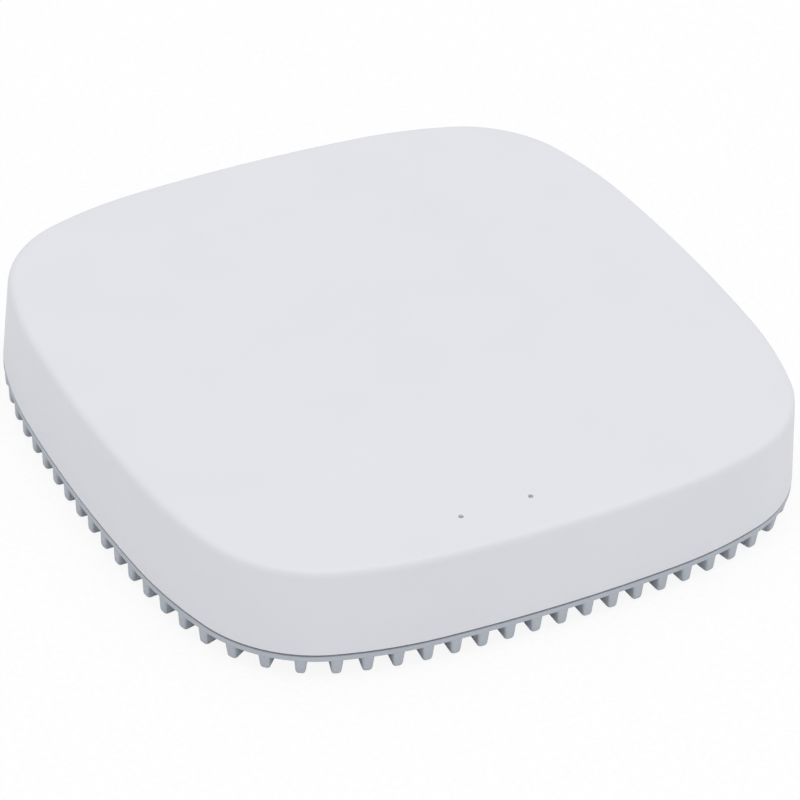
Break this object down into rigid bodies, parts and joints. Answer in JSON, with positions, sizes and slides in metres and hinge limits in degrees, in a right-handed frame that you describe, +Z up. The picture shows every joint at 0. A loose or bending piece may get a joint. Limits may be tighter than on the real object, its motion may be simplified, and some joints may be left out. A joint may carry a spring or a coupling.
{
  "type": "smart home hub",
  "caption": "Rounded-square smart home hub: shallow cover with two status pinholes on a ribbed vent base, rear network port, power inlet and sprung pairing button.",
  "frame": {"origin": "middle of the footprint, on the plane the rubber feet stand on", "axes": "+Z up out of the top face, -Y towards the front edge with the status pinholes, +Y towards the port panel, +X to the right seen from the front"},
  "size_m": [0.13, 0.13, 0.0227],
  "materials": {
    "white_cover_plastic": "fine matte moulded",
    "grey_base_plastic": "matte moulded",
    "foot_rubber": "moulded",
    "screw_steel": "zinc plated",
    "label_film": "satin film",
    "circuit_board": "solder mask",
    "chip_epoxy": "moulded epoxy",
    "gap_pad": "soft silicone",
    "anodised_aluminium": "clear anodised",
    "white_nylon": "moulded",
    "tinned_steel": "tin plated sheet",
    "antenna_laminate": "solder mask",
    "coax_jacket": "extruded",
    "gold_plate": "gold plated",
    "led_resin": "cast resin",
    "clear_acrylic": "moulded clear",
    "black_foam": "closed-cell foam",
    "black_plastic": "moulded",
    "nickel_shell": "nickel plated",
    "button_plastic": "matte moulded",
    "ferrite": "sintered ferrite",
    "capacitor_can": "bare aluminium can"
  },
  "bodies": {
    "case": {"top_cover": "white_cover_plastic", "base_tray": "grey_base_plastic", "rubber_feet": "foot_rubber", "cover_screws": "screw_steel", "board_screws": "screw_steel", "rating_label": "label_film", "main_board": "circuit_board", "processor": "chip_epoxy", "memory_chips": "chip_epoxy", "thermal_pad": "gap_pad", "heat_sink": "anodised_aluminium", "heat_sink_pins": "white_nylon", "wifi_chip": "chip_epoxy", "wifi_shield": "tinned_steel", "zigbee_module": "circuit_board", "zigbee_shield": "tinned_steel", "zwave_module": "circuit_board", "left_antenna": "antenna_laminate", "right_antenna": "antenna_laminate", "left_antenna_lead": "coax_jacket", "right_antenna_lead": "coax_jacket", "antenna_connectors": "gold_plate", "status_leds": "led_resin", "light_pipe": "clear_acrylic", "light_gasket": "black_foam", "port_panel": "grey_base_plastic", "ethernet_jack": "black_plastic", "ethernet_shield": "tinned_steel", "ethernet_contacts": "gold_plate", "ethernet_transformer": "chip_epoxy", "power_inlet_shell": "nickel_shell", "power_inlet_tongue": "black_plastic", "switch_body": "black_plastic", "power_inductor": "ferrite", "capacitors": "capacitor_can", "crystal_can": "tinned_steel"},
    "button": {"pairing_button": "button_plastic", "switch_plunger": "black_plastic"}
  },
  "joints": [
    {"name": "button_press", "type": "slide", "parent": "case", "child": "button", "axis": [0, -1, 0], "range_m": [0, 0.0005], "stiffness_N_per_m": 3000}
  ]
}
